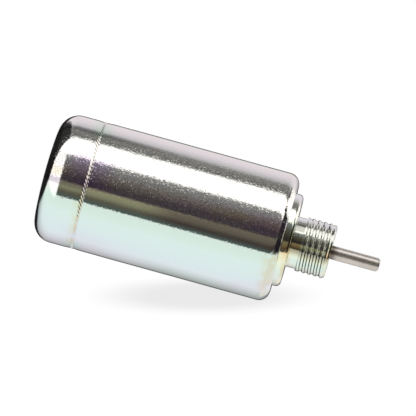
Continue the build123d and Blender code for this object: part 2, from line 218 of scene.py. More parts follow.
class StudioSettings(bpy.types.PropertyGroup):
    """Camera, lights and backdrop."""

    target_across: FloatProperty(
        name="Target across", description="Where the camera aims, across the axis", default=-0.0025,
        precision=5, unit="LENGTH", subtype="DISTANCE",
    )
    target_height: length("Target height", "Where the camera aims, along the axis", 0.0416)
    distance: length("Distance", "Camera to its target", 1.32)
    elevation: angle("Elevation", "How far the view leans from the nose's side", 1.95)
    roll: angle("Roll", "How far the axis falls towards the nose in the picture", 15.4)
    view_width: length("View width", "Width of the picture at the target", 0.1051)
    ambient: amount("Ambient", "Brightness of the fill light", 0.62)
    lamp_power: amount("Lamp power", "Power of the soft lamp overhead", 2.6, unit="POWER")
    lamp_size: length("Lamp size", "Diameter of the soft lamp", 0.5)
    lamp_place: FloatVectorProperty(
        name="Lamp place", description="Where the soft lamp hangs", default=(-0.22, -0.20, 0.55), size=3,
        unit="LENGTH", subtype="TRANSLATION",
    )
    lamp_aim: length("Lamp aim", "Height on the axis that the lamp points at", 0.04)
    floor_radius: length("Floor radius", "Radius of the pale floor", 0.35)
    floor_glow: amount("Floor glow", "Strength of the floor's own white, as the camera sees it", 1.22)
    floor_paper: colour("Floor paper", "Colour of the floor's paper", (0.92, 0.92, 0.92))
    shadow_left: length("Shadow left", "Middle of the backdrop's soft shadow, left of the target", 0.0012)
    shadow_drop: length("Shadow drop", "Middle of the backdrop's soft shadow, below the target", 0.0222)
    shadow_width: length("Shadow width", "Half the width of the backdrop's soft shadow", 0.033)
    shadow_height: length("Shadow height", "Half the height of the backdrop's soft shadow", 0.0055)
    shadow_depth: amount(
        "Shadow depth", "How dark the backdrop's soft shadow is", 0.18, max=1.0, subtype="FACTOR",
    )
    shadow_share: amount(
        "Shadow share", "How much of the floor's light can be shaded", 0.3, max=1.0, subtype="FACTOR",
    )


class Wire:
    """A socket of a node tree. Arithmetic on it adds Math nodes, and node() adds any other node."""

    def __init__(self, tree, socket=None):
        self.tree = tree
        self.socket = socket

    def node(self, kind, inputs=None, output=0, stops=None, **settings):
        """Adds a node: its settings first, then its inputs by name or index, and wires one output.

        A plain colour is given as red, green and blue."""
        made = self.tree.nodes.new(kind)
        for name, value in settings.items():
            setattr(made, name, value)
        if stops:
            elements = made.color_ramp.elements
            elements.remove(elements[1])
            elements[0].position = stops[0][0]
            elements[0].color = (*stops[0][1], 1.0)
            for position, shade in stops[1:]:
                elements.new(position).color = (*shade, 1.0)
        for key, value in (inputs or {}).items():
            if isinstance(value, Wire):
                self.tree.links.new(value.socket, made.inputs[key])
            elif made.inputs[key].type == "RGBA":
                made.inputs[key].default_value = (*value, 1.0)
            else:
                made.inputs[key].default_value = value
        return Wire(self.tree, made.outputs[output]) if len(made.outputs) else None

    def maths(self, operation, *values):
        return self.node("ShaderNodeMath", dict(enumerate(values)), operation=operation)

    def __add__(self, other):
        return self.maths("ADD", self, other)

    __radd__ = __add__

    def __sub__(self, other):
        return self.maths("SUBTRACT", self, other)

    def __rsub__(self, other):
        return self.maths("SUBTRACT", other, self)

    def __mul__(self, other):
        return self.maths("MULTIPLY", self, other)

    __rmul__ = __mul__

    def __truediv__(self, other):
        return self.maths("DIVIDE", self, other)

    def __rtruediv__(self, other):
        return self.maths("DIVIDE", other, self)

    def __neg__(self):
        return self.maths("MULTIPLY", self, -1.0)

    def __abs__(self):
        return self.maths("ABSOLUTE", self)

    def least(self, other):
        return self.maths("MINIMUM", self, other)

    def greatest(self, other):
        return self.maths("MAXIMUM", self, other)

    def root(self):
        return self.maths("SQRT", self)

    def held(self):
        """The value held between 0 and 1."""
        return self.greatest(0.0).least(1.0)

    def rise(self, low, high):
        """0 at low and below, 1 at high and beyond, and smooth in between. Low may be the larger one."""
        inputs = {"Value": self, "From Min": low, "From Max": high}
        return self.node("ShaderNodeMapRange", inputs, interpolation_type="SMOOTHSTEP")

    def between(self, low, high, soft):
        """1 between low and high, 0 outside, with soft flanks."""
        return self.rise(low - soft, low + soft) * self.rise(high + soft, high - soft)

    def past(self, low, high):
        """rise() for a share of a turn, with its ends in degrees."""
        return self.rise(low / 360, high / 360)

    def arc(self, first, last, soft):
        """between() for a share of a turn, with its ends and flanks in degrees."""
        return self.between(first / 360, last / 360, soft / 360)

    def parts(self):
        """The x, y and z of a vector."""
        split = self.node("ShaderNodeSeparateXYZ", {0: self})
        return [Wire(self.tree, socket) for socket in split.socket.node.outputs]

    def dot(self, vector):
        """The share of a direction that lies along a fixed vector."""
        inputs = {0: self, 1: vector}
        return self.node("ShaderNodeVectorMath", inputs, output="Value", operation="DOT_PRODUCT")

    def round_axis(self):
        """The angle round Z, as a share of a turn from -0.5 to 0.5, with 0 on the side of -Y."""
        x, y = self.parts()[:2]
        return self.maths("ARCTAN2", -x, -y) / TURN

    def ramp(self, stops):
        """A colour ramp over degrees from -180 to 180, read with a share of a turn."""
        placed = [((degrees + 180) / 360, shade) for degrees, shade in stops]
        return self.node("ShaderNodeValToRGB", {"Fac": self + 0.5}, stops=placed)

    def mix(self, first, second):
        """Mixes two colours by this value."""
        inputs = {0: self, 6: first, 7: second}
        return self.node("ShaderNodeMix", inputs, output=2, data_type="RGBA")

    def stained(self, tint, share=1.0):
        """This colour, multiplied by a tint where the share is 1."""
        inputs = {0: share, 6: self, 7: tint}
        return self.node("ShaderNodeMix", inputs, output=2, data_type="RGBA", blend_type="MULTIPLY")

    def noise(self, scale, detail=2.0, roughness=0.5, distortion=0.0):
        inputs = {
            "Vector": self,
            "Scale": scale,
            "Detail": detail,
            "Roughness": roughness,
            "Distortion": distortion,
        }
        return self.node("ShaderNodeTexNoise", inputs)

    def stretched(self, x, y, z):
        """A vector with each part scaled, for a pattern with a grain."""
        return self.node("ShaderNodeVectorMath", {0: self, 1: (x, y, z)}, operation="MULTIPLY")

    def bump(self, depth, strength=1.0):
        """A normal from this height, where 1 is depth metres."""
        return self.node("ShaderNodeBump", {"Height": self, "Distance": depth, "Strength": strength})


def grey(value):
    return (value, value, value)


def shaded(tint, factor):
    """A colour made darker by a factor."""
    return tuple(value * factor for value in tint)


def empty_tree(owner):
    """The first wire of a material's or world's tree, with no nodes in it."""
    owner.use_nodes = True
    owner.node_tree.nodes.clear()
    return Wire(owner.node_tree)


def new_surface(name):
    """A material with an empty tree, the tree's first wire and Object coordinates."""
    material = bpy.data.materials.new(name)
    start = empty_tree(material)
    return material, start, start.node("ShaderNodeTexCoord", output="Object")


def close_surface(start, inputs):
    """Ends a material's tree with its shader, whose inputs are given, and its output."""
    shader = start.node("ShaderNodeBsdfPrincipled", inputs)
    start.node("ShaderNodeOutputMaterial", {"Surface": shader})


# Tints of the passivation round the can, by degrees from the side of -Y towards -X
FILM_TINTS = [
    (-180, (0.80, 0.90, 0.96)),
    (-150, (0.88, 0.84, 0.95)),
    (-118, (0.96, 0.91, 0.84)),
    (-84, (0.90, 0.90, 0.92)),
    (-66, (0.86, 0.90, 0.97)),
    (-48, (0.80, 0.92, 0.96)),
    (-34, (0.78, 0.93, 0.92)),
    (-18, (0.76, 0.93, 0.85)),
    (-12, (0.84, 0.95, 0.90)),
    (-4, (0.97, 0.97, 0.92)),
    (6, (1.00, 0.94, 0.96)),
    (18, (1.00, 0.98, 0.96)),
    (48, (1.00, 0.99, 0.96)),
    (58, (1.00, 0.95, 1.00)),
    (68, (1.00, 0.89, 0.97)),
    (84, (1.00, 0.93, 0.90)),
    (114, (0.86, 0.98, 0.88)),
    (146, (0.96, 0.96, 0.84)),
    (180, (0.80, 0.90, 0.96)),
]

# The same round the nose piece, whose film is thicker; its darker stops from -12 to 18 degrees are painted
# shade where the nose mirrors the dark band
NOSE_TINTS_AND_SHADE = [
    (-180, (0.90, 0.94, 0.80)),
    (-120, (0.98, 0.88, 0.70)),
    (-70, (0.92, 0.98, 0.86)),
    (-44, (0.80, 0.97, 0.90)),
    (-30, (0.94, 0.98, 0.78)),
    (-19, (1.00, 0.92, 0.64)),
    # Painted shade from here to 18 degrees
    (-12, (0.80, 0.56, 0.34)),
    (-3, (0.56, 0.50, 0.38)),
    (8, (0.56, 0.62, 0.50)),
    (18, (0.66, 0.72, 0.62)),
    (26, (1.00, 1.00, 0.95)),
    (40, (1.00, 1.00, 0.93)),
    (50, (1.00, 1.00, 0.97)),
    (68, (0.96, 0.90, 1.00)),
    (110, (0.92, 0.98, 0.82)),
    (180, (0.90, 0.94, 0.80)),
]


# Stretches of the shell's film, where it is thicker, and where it is darkened by painted shade: from and to
# in degrees, the softness of both, where it begins and is full in metres ahead of the seam, and its tint
FILM_DRIFTS_AND_SHADE = [
    # Violet film, darkened by painted shade where the can mirrors the dark band
    (-13.0, -1.5, 2.5, 0.013, 0.025, (0.52, 0.45, 0.55)),
    (-100.0, -66.0, 12.0, 0.013, 0.027, (0.74, 0.85, 0.76)),
    # Painted shade, full behind the seam and gone 31 mm ahead of it, where the can mirrors the upper dark
    # band
    (50.0, 55.5, 2.0, 0.031, -0.005, (0.48, 0.48, 0.50)),
    # Violet film, darkened by painted shade, on the cap behind the seam
    (-5.5, 0.0, 1.5, 0.0006, -0.0006, (0.66, 0.62, 0.72)),
]


def seam_film(film, turn, radius, z, seam):
    """Darkens the bead's notches between its strands, a little all round as dirt and more between -14 and 20
    degrees as painted shade, and adds the violet and green beside the seam and the drifts, the darker ones
    painted shade.

    seam holds the radius, height and depth of the bead."""
    outer, crest, depth = seam
    away = abs(z - crest)
    # The bead's notches darken a little all round as dirt and more between -14 and 20 degrees as painted
    # shade
    notch_dirt_and_shade = radius.rise(outer - depth * 0.35, outer - depth * 1.1) * away.rise(0.0009, 0.0004)
    film = film.stained((0.40, 0.30, 0.25), notch_dirt_and_shade * (turn.arc(-14, 20, 5) * 0.62 + 0.12))
    violet = away.rise(0.0080, 0.0015) * away.rise(0.0002, 0.0007) * turn.arc(0, 24, 4)
    film = film.stained((0.80, 0.64, 0.94), violet * 0.8)
    green = away.rise(0.0036, 0.0006) * (turn.arc(50, 74, 4) + turn.arc(-92, -62, 7))
    film = film.stained((0.82, 1.0, 0.88), green * 0.8)
    # Each drift tints the film; the darker ones are painted shade
    for first, last, soft, begins, full, tint in FILM_DRIFTS_AND_SHADE:
        film = film.stained(tint, turn.arc(first, last, soft) * (z - crest).rise(begins, full))
    return film


def thread_film(film, turn, radius, z, thread):
    """Keeps the thread's film pale between -22 and 22 degrees, clear of the nose's painted shade, paints
    shade on the neck and the thread, and darkens the thread's flanks, strongly as painted shade from -18
    degrees round to -180.

    thread holds the thread's root and crest radius, its two ends and the neck's rear end."""
    root, crest, foot, end, neck = thread
    # Over the thread between -22 and 22 degrees the film is set to a plain pale tint, which keeps the
    # painted shade of the nose's tints off the thread
    toned = z.between(foot, end, 0.0002) * turn.arc(-22, 22, 4)
    film = toned.mix(film, (0.95, 0.97, 0.84))
    ahead = z.rise(neck - 0.0001, neck + 0.0001)
    # Painted shade that dims the mirrored softbox between 26 and 45 degrees, on the thread and more on the
    # neck
    painted_dimming = turn.arc(26, 45, 2) * (0.32 + z.rise(foot + 0.0002, foot - 0.0002) * 0.34)
    film = film.stained((0.22, 0.22, 0.20), painted_dimming * ahead)
    # Painted shade on the neck and the thread between -36 and -11 degrees, strongest near -14
    painted_low_shade = ahead * turn.past(-36, -14) * turn.past(-11, -15)
    film = film.stained((0.2, 0.2, 0.18), painted_low_shade * 0.75)
    # The thread's flanks darken a little all round, and strongly from -18 degrees round to -180 as painted
    # shade in the grooves
    soft = (crest - root) * 0.2
    flank = radius.rise(root, root + soft) * radius.rise(crest, crest - soft) * z.between(foot, end, 0.0001)
    return film.stained((0.08, 0.10, 0.08), flank * (0.10 + turn.past(-6, -18) * 0.84))


def zinc_plate(name, zinc, speckle, tints, stains, thread=None, seam=None):
    """Bright zinc with a thin passivation, whose tint drifts over the surface, and painted shade in some of
    its tints and marks.

    speckle is the depth of its orange peel in microns. stains holds (height, reach, tint, share) rings
    where the film is thicker. thread and seam are for thread_film() and seam_film()."""
    material, start, place = new_surface(name)
    x, y, z = place.parts()
    turn = place.round_axis()
    radius = (x * x + y * y).root()
    drift = place.stretched(1.0, 1.0, 0.30).noise(70.0, 1.5) - 0.5
    film = (turn + drift * 0.025).ramp(tints)
    violet = place.stretched(1.0, 1.0, 0.45).noise(85.0, 2.0, 0.5, 0.6).rise(0.44, 0.60)
    clean = z.between(*CLEAN_STRETCH, 0.004) * 0.65
    film = film.stained((0.86, 0.68, 1.0), violet * turn.arc(0, 15, 4) * (1.0 - clean) * 0.8)
    brown = place.stretched(1.0, 1.0, 0.5).noise(64.0, 2.0, 0.5, 0.4).rise(0.42, 0.62)
    film = film.stained((1.0, 0.97, 0.78), brown * turn.arc(3, 13, 4))
    film = film.stained((1.0, 0.93, 0.99), violet * turn.past(-36, -52) * turn.past(-100, -84) * 0.7)
    if seam:
        film = seam_film(film, turn, radius, z, seam)
    if thread:
        film = thread_film(film, turn, radius, z, thread)
    broken = place.noise(420.0, 3.0).rise(0.30, 0.62)
    low_side = turn.arc(-68, -9, 7) * 0.85 + 0.15
    for height, reach, tint, share in stains:
        near = abs(z - height).rise(reach, reach * 0.15)
        film = film.stained(tint, near * broken * low_side * share)
    mottled = turn.arc(-3, 24, 4) + turn.arc(39, 54, 4)
    mottle = place.noise(2700.0, 0.0).rise(0.62, 0.40)
    film = film.stained((0.46, 0.46, 0.44), mottle * mottled * 0.55)
    peel = turn.arc(3, 66, 4) * 0.72 + 0.28
    pits = place.noise(1950.0, 0.0).rise(0.60, 0.78)
    relief = (place.noise(2600.0, 0.0) * 0.65 + pits * 0.8) * peel
    dots = place.noise(2250.0, 0.0).rise(0.58, 0.76)
    close_surface(start, {
        "Base Color": film.stained(zinc),
        "Metallic": 1.0,
        "Roughness": 0.035 + place.noise(240.0, 3.0) * 0.03 + dots * peel * 0.24,
        "Normal": relief.bump(speckle * MICRON),
    })
    return material


def ground_steel(name, tint, roughness, line_scale, line_depth, painted_shadow_span=None):
    """Bare steel with fine turning or grinding lines round the axis. line_depth is in microns.

    painted_shadow_span holds the heights between which a painted shadow darkens it towards its rear end."""
    material, start, place = new_surface(name)
    lines = place.stretched(0.12, 0.12, 1.0).noise(line_scale, 3.0, 0.7)
    cloud = place.noise(500.0, 3.0)
    toned = (cloud * 0.5 + lines * 0.5).rise(0.25, 0.75).mix(shaded(tint, 0.82), tint)
    if painted_shadow_span:
        low, high = painted_shadow_span
        # A painted shadow: full up to the lower height and gone at the higher one
        toned = toned.stained((0.32, 0.29, 0.26), place.parts()[2].rise(high, low))
    close_surface(start, {
        "Base Color": toned,
        "Metallic": 1.0,
        "Roughness": roughness + cloud * 0.08,
        "Normal": lines.bump(line_depth * MICRON),
    })
    return material


def plain_metal(name, tint, roughness, winding=0.0):
    """Drawn or sintered metal with a cloudy tarnish. winding is how far the turns of wire stand out."""
    material, start, place = new_surface(name)
    cloud = place.noise(380.0, 4.0, 0.6)
    fine = place.noise(4200.0, 2.0, 0.6)
    rings = start.maths("SINE", place.parts()[2] * (TURN / WIRE_PITCH))
    close_surface(start, {
        "Base Color": cloud.rise(0.3, 0.75).mix(shaded(tint, 0.72), tint),
        "Metallic": 1.0,
        "Roughness": roughness + fine * 0.10,
        "Normal": (fine + rings * winding).bump(4.0 * MICRON),
    })
    return material


def moulded(name, tint, roughness, grain_scale, grain_depth, sheen=0.0):
    """Moulded plastic or rubber with a faint grain and cloudy gloss. grain_depth is in microns."""
    material, start, place = new_surface(name)
    cloud = place.noise(260.0, 3.0)
    close_surface(start, {
        "Base Color": cloud.rise(0.25, 0.8).mix(shaded(tint, 0.78), tint),
        "Roughness": roughness + cloud * 0.12,
        "Sheen Weight": sheen,
        "Normal": place.noise(grain_scale, 3.0, 0.6).bump(grain_depth * MICRON),
    })
    return material


def rounded_outline(corners):
    """The points of a closed outline of (radius, height, rounding) corners, with each rounding as an arc."""
    points = []
    for index, (r, z, rounding) in enumerate(corners):
        if not rounding:
            points.append((r, z))
            continue
        here = Vector((r, z))
        before = Vector(corners[index - 1][:2]) - here
        after = Vector(corners[(index + 1) % len(corners)][:2]) - here
        opening = before.angle(after)
        before.normalize()
        after.normalize()
        reach = rounding / math.tan(opening / 2)
        middle = here + (before + after).normalized() * (rounding / math.sin(opening / 2))
        first = here + before * reach - middle
        last = here + after * reach - middle
        sweep = math.pi - opening
        steps = max(2, math.ceil(sweep / ARC_STEP))
        for step in range(steps + 1):
            share = step / steps
            spoke = first * math.sin((1 - share) * sweep) + last * math.sin(share * sweep)
            points.append(tuple(middle + spoke / math.sin(sweep)))
    return points


def divided(start, end, step):
    """Points along a straight stretch of an outline, one step apart, without its last one."""
    steps = max(1, round((Vector(end) - Vector(start)).length / step))
    return [
        (start[0] + (end[0] - start[0]) * i / steps, start[1] + (end[1] - start[1]) * i / steps)
        for i in range(steps)
    ]


def ruled(outline, start, step):
    """The outline with the straight stretch that follows one of its points divided into steps."""
    foot = outline.index(start)
    return outline[:foot] + divided(start, outline[foot + 1], step) + outline[foot + 1:]


def turned_mesh(name, outline, facets):
    """A closed mesh made by turning an outline of (radius, height) points round Z."""
    mesh = bpy.data.meshes.new(name)
    shape = bmesh.new()
    rings = []
    for r, z in outline:
        if r < ON_AXIS:
            rings.append([shape.verts.new((0, 0, z))])
            continue
        angles = [TURN * k / facets for k in range(facets)]
        rings.append([shape.verts.new((r * math.cos(a), r * math.sin(a), z)) for a in angles])
    for ring, following in zip(rings, rings[1:] + rings[:1]):
        if len(ring) == 1 and len(following) == 1:
            continue
        for k in range(facets):
            after = (k + 1) % facets
            if len(ring) == 1:
                shape.faces.new((ring[0], following[k], following[after]))
            elif len(following) == 1:
                shape.faces.new((ring[k], ring[after], following[0]))
            else:
                shape.faces.new((ring[k], ring[after], following[after], following[k]))
    bmesh.ops.recalc_face_normals(shape, faces=shape.faces)
    shape.to_mesh(mesh)
    shape.free()
    return mesh


def finish_piece(piece, body, slot, material, *nodes):
    """Shades a finished piece, gives it its material and sets it in the frame in place of its CAD nodes."""
    mesh = piece.data
    mesh.shade_smooth()
    mesh.set_sharp_from_angle(angle=SHARP_ANGLE)
    mesh.materials.clear()
    mesh.materials.append(material)
    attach(piece, body)
    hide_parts(*nodes)


def turned_piece(name, outline, facets):
    """A turned mesh as an object in the scene."""
    piece = bpy.data.objects.new(name, turned_mesh(name, outline, facets))
    bpy.context.scene.collection.objects.link(piece)
    return piece


def geometry_tool(name, values, takes_mesh=True):
    """An empty geometry tree with a named input for each value: its first wire, and one from each input."""
    tree = bpy.data.node_groups.new(name, "GeometryNodeTree")
    tree.interface.new_socket("Geometry", in_out="OUTPUT", socket_type="NodeSocketGeometry")
    if takes_mesh:
        tree.interface.new_socket("Geometry", in_out="INPUT", socket_type="NodeSocketGeometry")
    for label, value in values.items():
        tree.interface.new_socket(label, in_out="INPUT", socket_type=SOCKET_KINDS[type(value)])
    start = Wire(tree)
    group = start.node("NodeGroupInput").socket.node
    return start, {socket.name: Wire(tree, socket) for socket in group.outputs if socket.name}


def close_tool(start, geometry, material):
    """Ends a geometry tree with real geometry in its material."""
    real = start.node("GeometryNodeRealizeInstances", {"Geometry": geometry})
    painted = start.node("GeometryNodeSetMaterial", {"Geometry": real, "Material": material})
    start.node("NodeGroupOutput", {"Geometry": painted})


def shaped_piece(name, mesh, tool, values):
    """Runs a geometry tree with its values on a mesh and keeps the result as a plain mesh."""
    tree = tool(values)
    piece = bpy.data.objects.new(name, mesh)
    modifier = piece.modifiers.new(tree.name, "NODES")
    modifier.node_group = tree
    for item in tree.interface.items_tree:
        if item.in_out == "INPUT" and item.name in values:
            modifier[item.identifier] = values[item.name]
    bpy.context.scene.collection.objects.link(piece)
    bpy.context.view_layer.update()
    graph = bpy.context.evaluated_depsgraph_get()
    result = bpy.data.meshes.new_from_object(piece.evaluated_get(graph))
    if not result.polygons:
        raise RuntimeError(f"the geometry tree {tree.name} made nothing for {name}")
    result.name = name
    piece.modifiers.remove(modifier)
    piece.data = result
    return piece


def thread_tool(values):
    """A geometry tree that cuts a helical thread into a turned mesh."""
    start, inputs = geometry_tool("cut_thread", values)
    place = start.node("GeometryNodeInputPosition")
    x, y, z = place.parts()
    radius = (x * x + y * y).root()
    past_start = z - inputs["Start"]
    phase = past_start / inputs["Pitch"] - place.maths("ARCTAN2", y, x) / TURN
    from_crest = abs(phase.maths("FRACT", phase) - 0.5) * 2.0
    groove = ((from_crest - inputs["Crest share"]) / inputs["Flank share"]).held()
    run_in = (past_start / inputs["Run in"]).held()
    run_out = ((inputs["End"] - z) / inputs["Run out"]).held()
    floor = inputs["Radius"] - inputs["Depth"] * groove * run_in * run_out
    # A micron of margin, so that the step's own ring belongs to the thread
    inside = z.maths("GREATER_THAN", z, inputs["Start"] - MICRON) * z.maths("LESS_THAN", z, inputs["End"])
    wanted = radius.least(floor)
    share = 1.0 + inside * (wanted / radius - 1.0)
    moved = start.node("ShaderNodeCombineXYZ", {0: x * share, 1: y * share, 2: z})
    cut = start.node("GeometryNodeSetPosition", {"Geometry": inputs["Geometry"], "Position": moved})
    close_tool(start, cut, inputs["Material"])
    return start.tree


def seam_tool(values):
    """A geometry tree that rolls a roped bead into the outside of a turned can."""
    start, inputs = geometry_tool("roll_seam", values)
    place = start.node("GeometryNodeInputPosition")
    x, y, z = place.parts()
    radius = (x * x + y * y).root()
    height = z - inputs["Crest"]
    off = (height / inputs["Front flank"]).greatest(-height / inputs["Rear flank"])
    fade = (1.0 - abs(height) / inputs["Fade"]).greatest(0.0)
    trough = (0.5 - start.maths("COSINE", off.least(1.0) * math.pi) * 0.5) * fade
    lay = place.round_axis() * TURN * inputs["Strands"] + height * inputs["Slant"]
    notch = start.maths("SINE", lay) * 0.5 + 0.5
    bead = start.maths("COSINE", (off * 0.8).least(1.0) * math.pi) * 0.5 + 0.5
    outside = start.maths("GREATER_THAN", radius, inputs["Radius"] - inputs["Skin"])
    drop = (trough + notch * bead) * inputs["Depth"] * outside
    share = 1.0 - drop / radius.greatest(0.001)
    moved = start.node("ShaderNodeCombineXYZ", {0: x * share, 1: y * share, 2: z})
    pressed = start.node("GeometryNodeSetPosition", {"Geometry": inputs["Geometry"], "Position": moved})
    close_tool(start, pressed, inputs["Material"])
    return start.tree


def shell_plating(s):
    """The plating that cap and housing share."""
    material = bpy.data.materials.get("zinc_shell")
    if material:
        return material
    crest = s.seam_height + s.bead_lead
    return zinc_plate("zinc_shell", s.zinc, s.speckle, FILM_TINTS, [
        (s.seam_height - 0.0006, 0.0015, (1.0, 0.93, 0.76), 0.7),
        (crest, 0.0006, (0.97, 0.78, 0.66), 0.85),
        (s.front_height - 0.001, 0.0036, (1.0, 0.83, 0.66), 0.85),
    ], seam=(s.can_radius, crest, s.bead_depth))


def seamed_piece(name, outline, s):
    """A turned part of the can with its share of the seam's bead."""
    blank = turned_mesh(name + "_blank", outline, s.facets)
    return shaped_piece(name, blank, seam_tool, {
        "Radius": s.can_radius,
        "Crest": s.seam_height + s.bead_lead,
        "Rear flank": s.bead_rear,
        "Front flank": s.bead_front,
        "Fade": s.bead_fade,
        "Depth": s.bead_depth,
        "Skin": s.bead_skin,
        "Strands": s.strands,
        "Slant": s.strands / (s.strand_run * s.can_radius),
        "Material": shell_plating(s),
    })


def spring_tool(values):
    """A geometry tree that winds a compression spring with closed ends."""
    start, inputs = geometry_tool("wind_spring", values, takes_mesh=False)
    spiral = start.node("GeometryNodeCurveSpiral", {
        "Resolution": inputs["Turn steps"],
        "Rotations": inputs["Turns"],
        "Start Radius": inputs["Coil radius"],
        "End Radius": inputs["Coil radius"],
        "Height": inputs["Rise"],
    })
    x, y, z = start.node("GeometryNodeInputPosition").parts()
    along = z / inputs["Rise"]
    closed = 1.0 / inputs["Turns"]
    first = (along / closed).least(1.0)
    last = ((along - 1.0) / closed + 1.0).greatest(0.0)
    middle = ((along - closed) / (1.0 - closed * 2.0)).held()
    end_rise = inputs["Wire"] * CLOSED_RISE
    height = (first + last) * end_rise + middle * (inputs["Rise"] - end_rise * 2.0)
    moved = start.node("ShaderNodeCombineXYZ", {0: x, 1: y, 2: height + inputs["Base"]})
    line = start.node("GeometryNodeSetPosition", {"Geometry": spiral, "Position": moved})
    section = start.node("GeometryNodeCurvePrimitiveCircle", {
        "Resolution": inputs["Wire sides"],
        "Radius": inputs["Wire"] / 2.0,
    })
    wound = start.node("GeometryNodeCurveToMesh", {
        "Curve": line,
        "Profile Curve": section,
        "Fill Caps": True,
    })
    close_tool(start, wound, inputs["Material"])
    return start.tree


class SOLENOID_OT_rear_cap(bpy.types.Operator):
    """Builds the plated rear cap, the short cup with the socket's hole"""

    bl_idname = "solenoid.rear_cap"
    bl_label = "Rear cap"

    def execute(self, context):
        s = context.scene.solenoid_shell
        cap_bore = s.spigot_radius - s.spigot_wall
        bead_foot = (s.can_radius, s.seam_height - BEAD_RUN * s.bead_rear, 0.0)
        outline = rounded_outline([
            (s.socket_hole, 0.0, s.edge_break),
            (s.standing_radius, 0.0, s.edge_break),
            (s.can_radius, s.crown_drop, s.cap_corner),
            (s.can_radius, s.seam_height - s.bead_fade, 0.0),
            bead_foot,
            (s.can_radius, s.seam_height, 0.0),
            (s.spigot_radius, s.seam_height, 0.0),
            (s.spigot_radius, s.spigot_top, s.edge_break),
            (cap_bore, s.spigot_top, s.edge_break),
            (cap_bore, s.cap_floor + s.inner_corner, s.edge_break),
            (cap_bore - s.inner_corner, s.cap_floor, s.edge_break),
            (s.socket_hole, s.cap_floor, s.edge_break),
        ])
        outline = ruled(outline, bead_foot[:2], s.bead_rear / s.rear_steps)
        piece = seamed_piece("rear_cap_plated", outline, s)
        finish_piece(piece, "case", "zinc_plated_shell", shell_plating(s), "rear_cap")
        return {"FINISHED"}


class SOLENOID_OT_housing(bpy.types.Operator):
    """Builds the plated housing, the drawn can from the seam to the front face"""

    bl_idname = "solenoid.housing"
    bl_label = "Housing"

    def execute(self, context):
        s = context.scene.solenoid_shell
        bore = s.can_radius - s.housing_wall
        inner_front = s.front_height - s.front_wall
        inner_break = (bore - s.collar_hole) * 0.2
        crest = s.seam_height + s.bead_lead
        outline = rounded_outline([
            (bore, s.seam_height, 0.0),
            (s.can_radius, s.seam_height, 0.0),
            (s.can_radius, crest + BEAD_RUN * s.bead_front, 0.0),
            (s.can_radius, crest + s.bead_fade, 0.0),
            (s.can_radius, s.front_height, s.front_corner),
            (s.collar_hole, s.front_height, s.edge_break),
            (s.collar_hole, inner_front, 0.0),
            (bore - inner_break, inner_front, 0.0),
            (bore, inner_front - inner_break, 0.0),
        ])
        outline = ruled(outline, (s.can_radius, s.seam_height), s.bead_front / s.front_steps)
        piece = seamed_piece("housing_plated", outline, s)
        finish_piece(piece, "case", "zinc_plated_shell", shell_plating(s), "housing")
        return {"FINISHED"}


class SOLENOID_OT_nose(bpy.types.Operator):
    """Builds the nose piece, turned in one with its collar, neck and cut thread"""

    bl_idname = "solenoid.nose"
    bl_label = "Nose piece"

    def execute(self, context):
        s = context.scene.solenoid_nose
        shell = context.scene.solenoid_shell
        edge = shell.edge_break
        chamfer = 5 * edge
        outline = rounded_outline([
            (s.passage_radius, s.pole_tip, edge),
            (s.pole_radius, s.pole_tip, edge),
            (s.pole_radius, s.flange_rear, 0.0),
            (s.flange_radius, s.flange_rear, edge),
            (s.flange_radius, s.flange_front - chamfer, 0.0),
            (s.flange_radius - chamfer, s.flange_front, 0.0),
            (s.collar_radius, s.flange_front, 0.0),
            (s.collar_radius, s.groove_rear, 0.0),
            (s.groove_radius, s.groove_rear, 0.0),
            (s.groove_radius, s.groove_front, 0.0),
            (s.collar_radius, s.groove_front, 0.0),
            (s.collar_radius, s.collar_front, s.collar_edge),
            (s.neck_radius, s.collar_front, 2 * edge),
            (s.neck_radius, s.thread_start, 0.0),
            (s.thread_radius, s.thread_start, 0.0),
            (s.thread_radius, s.thread_end, s.nose_edge),
            (s.bore_radius, s.thread_end, edge),
            (s.bore_radius, s.bore_floor, 0.0),
            (s.passage_radius, s.bore_floor, 0.0),
        ])
        outline = ruled(outline, (s.thread_radius, s.thread_start), s.pitch / s.pitch_steps)
        root_radius = s.thread_radius - s.thread_depth
        thread = (root_radius, s.thread_radius, s.thread_start, s.thread_end - s.nose_edge, s.collar_front)
        plating = zinc_plate("zinc_nose", shell.zinc, s.speckle, NOSE_TINTS_AND_SHADE, [
            (s.collar_front, 0.0012, (1.0, 0.76, 0.44), 0.85),
            (s.thread_end, 0.0010, (1.0, 0.80, 0.62), 0.6),
        ], thread=thread)
        blank = turned_mesh("nose_blank", outline, s.facets)
        piece = shaped_piece("nose_piece_threaded", blank, thread_tool, {
            "Radius": s.thread_radius,
            "Pitch": s.pitch,
            "Depth": s.thread_depth,
            "Crest share": s.crest_share,
            "Flank share": s.flank_share,
            "Start": s.thread_start,
            "End": s.thread_end,
            "Run in": s.run_in,
            "Run out": s.nose_edge,
            "Material": plating,
        })
        finish_piece(piece, "case", "zinc_plated_nose", plating, "nose_piece")
        return {"FINISHED"}


